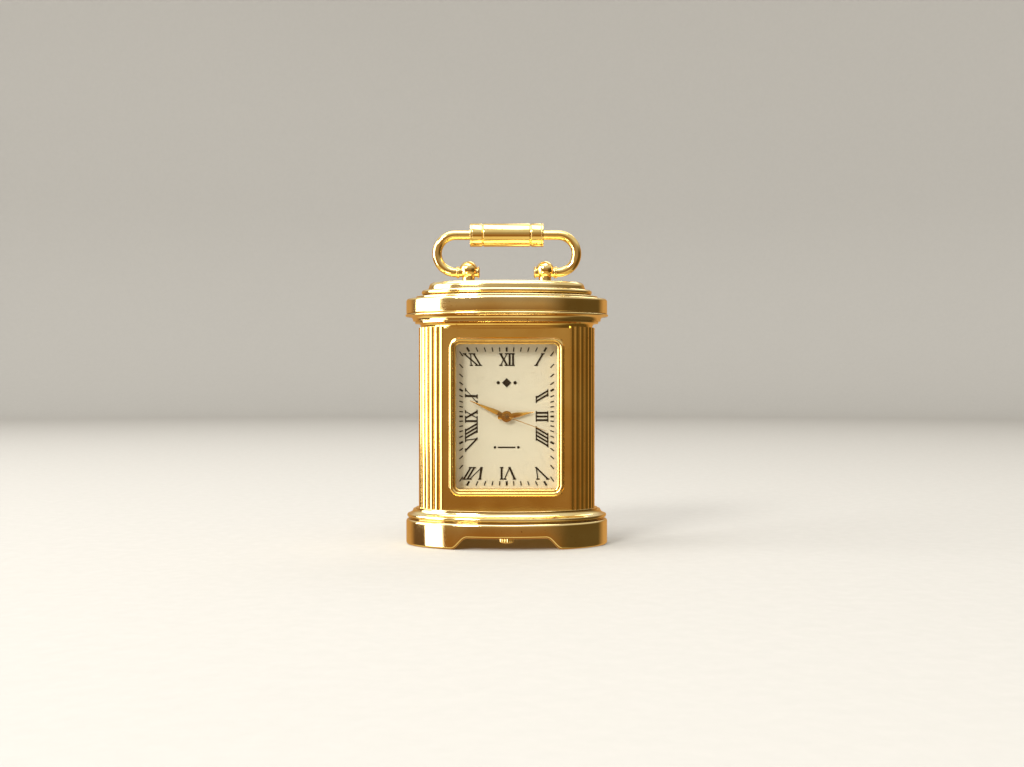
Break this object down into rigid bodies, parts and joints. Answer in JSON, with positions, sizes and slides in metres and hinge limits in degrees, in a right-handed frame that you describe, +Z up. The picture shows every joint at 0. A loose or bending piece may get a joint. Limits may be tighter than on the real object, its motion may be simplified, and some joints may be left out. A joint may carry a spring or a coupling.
{
  "type": "miniature carriage-style mantel clock",
  "caption": "Miniature gilt mantel clock with oval base and cornice, reeded columns, Roman dial, three hands, bail handle and a quartz movement set by a crown under the base.",
  "frame": {"origin": "middle of the base on the surface that the clock stands on", "axes": "+Z up, the dial faces -Y, +X to the viewer's right"},
  "size_m": [0.044, 0.0264, 0.0694],
  "materials": {
    "gilt_casting": "polished gold plate on a zinc casting",
    "gilt_trim": "polished gold plate",
    "crystal_glass": "clear flat pane",
    "spacer_gilt": "satin gold",
    "dial_cream": "satin cream paint",
    "dial_ink": "matt black print",
    "hand_gilt": "bright gold plate",
    "holder_plastic": "moulded white plastic",
    "screw_steel": "turned steel",
    "plate_brass": "fine matt nickel-brass",
    "bridge_steel": "brushed",
    "core_steel": "grey annealed steel",
    "coil_copper": "enamelled copper wire",
    "board_resin": "green lacquered board",
    "chip_resin": "black resin",
    "can_metal": "bright can",
    "battery_steel": "bright steel",
    "wheel_brass": "fine brushed brass",
    "pinion_steel": "polished steel",
    "magnet": "dark sintered magnet"
  },
  "bodies": {
    "case": {"base_plinth": "gilt_casting", "case_body": "gilt_casting", "cornice": "gilt_casting", "rear_cover": "gilt_casting", "bezel": "gilt_trim", "handle_post_left": "gilt_trim", "handle_post_right": "gilt_trim", "crystal": "crystal_glass", "dial_spacer": "spacer_gilt", "dial_plate": "dial_cream", "dial_markings": "dial_ink", "dial_washer": "hand_gilt", "movement_holder": "holder_plastic", "rear_cover_screws": "screw_steel", "case_screws": "screw_steel", "post_nuts": "screw_steel", "bridge_screws": "screw_steel", "battery_strap": "screw_steel", "main_plate": "plate_brass", "train_bridge": "bridge_steel", "stator": "core_steel", "coil_core": "core_steel", "coil": "coil_copper", "circuit_board": "board_resin", "circuit_chip": "chip_resin", "quartz_crystal": "can_metal", "battery": "battery_steel"},
    "handle": {"handle_bail": "gilt_trim", "grip_tube": "gilt_trim", "grip_caps": "gilt_trim"},
    "second": {"second_wheel": "wheel_brass", "second_arbor": "pinion_steel", "second_hand": "hand_gilt"},
    "minute": {"centre_wheel": "wheel_brass", "cannon_pinion": "pinion_steel", "minute_hand": "hand_gilt"},
    "hour": {"hour_wheel": "wheel_brass", "hour_hand": "hand_gilt"},
    "third": {"third_wheel": "wheel_brass", "third_pinion": "pinion_steel"},
    "fifth": {"fifth_wheel": "wheel_brass", "fifth_pinion": "pinion_steel"},
    "rotor": {"rotor_magnet": "magnet", "rotor_pinion": "pinion_steel"},
    "motion_work": {"minute_wheel": "wheel_brass"},
    "setting_gear": {"setting_wheel": "pinion_steel"},
    "lever": {"setting_lever": "pinion_steel"},
    "clutch": {"clutch_wheel": "pinion_steel"},
    "crown_stem": {"stem": "pinion_steel", "crown": "gilt_trim"}
  },
  "joints": [
    {"name": "handle_swing", "type": "hinge", "parent": "case", "child": "handle", "pos_m": [0, 0, 0.0588], "axis": [1, 0, 0], "range_deg": [-86, 86]},
    {"name": "second_hand_turn", "type": "hinge", "parent": "case", "child": "second", "pos_m": [0, 0, 0.0276], "axis": [0, 1, 0], "continuous": true},
    {"name": "minute_hand_turn", "type": "hinge", "parent": "case", "child": "minute", "pos_m": [0, 0, 0.0276], "axis": [0, 1, 0], "continuous": true},
    {"name": "hour_hand_turn", "type": "hinge", "parent": "case", "child": "hour", "pos_m": [0, 0, 0.0276], "axis": [0, 1, 0], "continuous": true},
    {"name": "third_wheel_turn", "type": "hinge", "parent": "case", "child": "third", "pos_m": [-0.00281, 0, 0.02922], "axis": [0, 1, 0], "continuous": true},
    {"name": "fifth_wheel_turn", "type": "hinge", "parent": "case", "child": "fifth", "pos_m": [0.00226, 0, 0.02678], "axis": [0, 1, 0], "continuous": true},
    {"name": "rotor_turn", "type": "hinge", "parent": "case", "child": "rotor", "pos_m": [0.00407, 0, 0.02573], "axis": [0, 1, 0], "continuous": true},
    {"name": "minute_wheel_turn", "type": "hinge", "parent": "case", "child": "motion_work", "pos_m": [0, 0, 0.0252], "axis": [0, 1, 0], "continuous": true},
    {"name": "setting_wheel_turn", "type": "hinge", "parent": "case", "child": "setting_gear", "pos_m": [0, 0, 0.0224], "axis": [0, 1, 0], "continuous": true},
    {"name": "crown_turn", "type": "hinge", "parent": "case", "child": "clutch", "pos_m": [0, -0.00275, 0.02], "axis": [0, 0, 1], "continuous": true},
    {"name": "crown_pull", "type": "slide", "parent": "clutch", "child": "crown_stem", "axis": [0, 0, -1], "range_m": [0, 0.0007]},
    {"name": "setting_lever_turn", "type": "hinge", "parent": "case", "child": "lever", "pos_m": [0.002, 0, 0.0194], "axis": [0, 1, 0], "range_deg": [-20.5, 0.5]}
  ],
  "couplings": [
    {"joint": "minute_hand_turn", "follows": "second_hand_turn", "ratio": 0.016667},
    {"joint": "hour_hand_turn", "follows": "second_hand_turn", "ratio": 0.0013889},
    {"joint": "third_wheel_turn", "follows": "second_hand_turn", "ratio": -0.13333},
    {"joint": "fifth_wheel_turn", "follows": "second_hand_turn", "ratio": -5},
    {"joint": "rotor_turn", "follows": "second_hand_turn", "ratio": 30},
    {"joint": "minute_wheel_turn", "follows": "second_hand_turn", "ratio": -0.0055556},
    {"joint": "setting_wheel_turn", "follows": "second_hand_turn", "ratio": 0.01},
    {"joint": "setting_lever_turn", "follows": "crown_pull", "rad_per_m": -500}
  ]
}
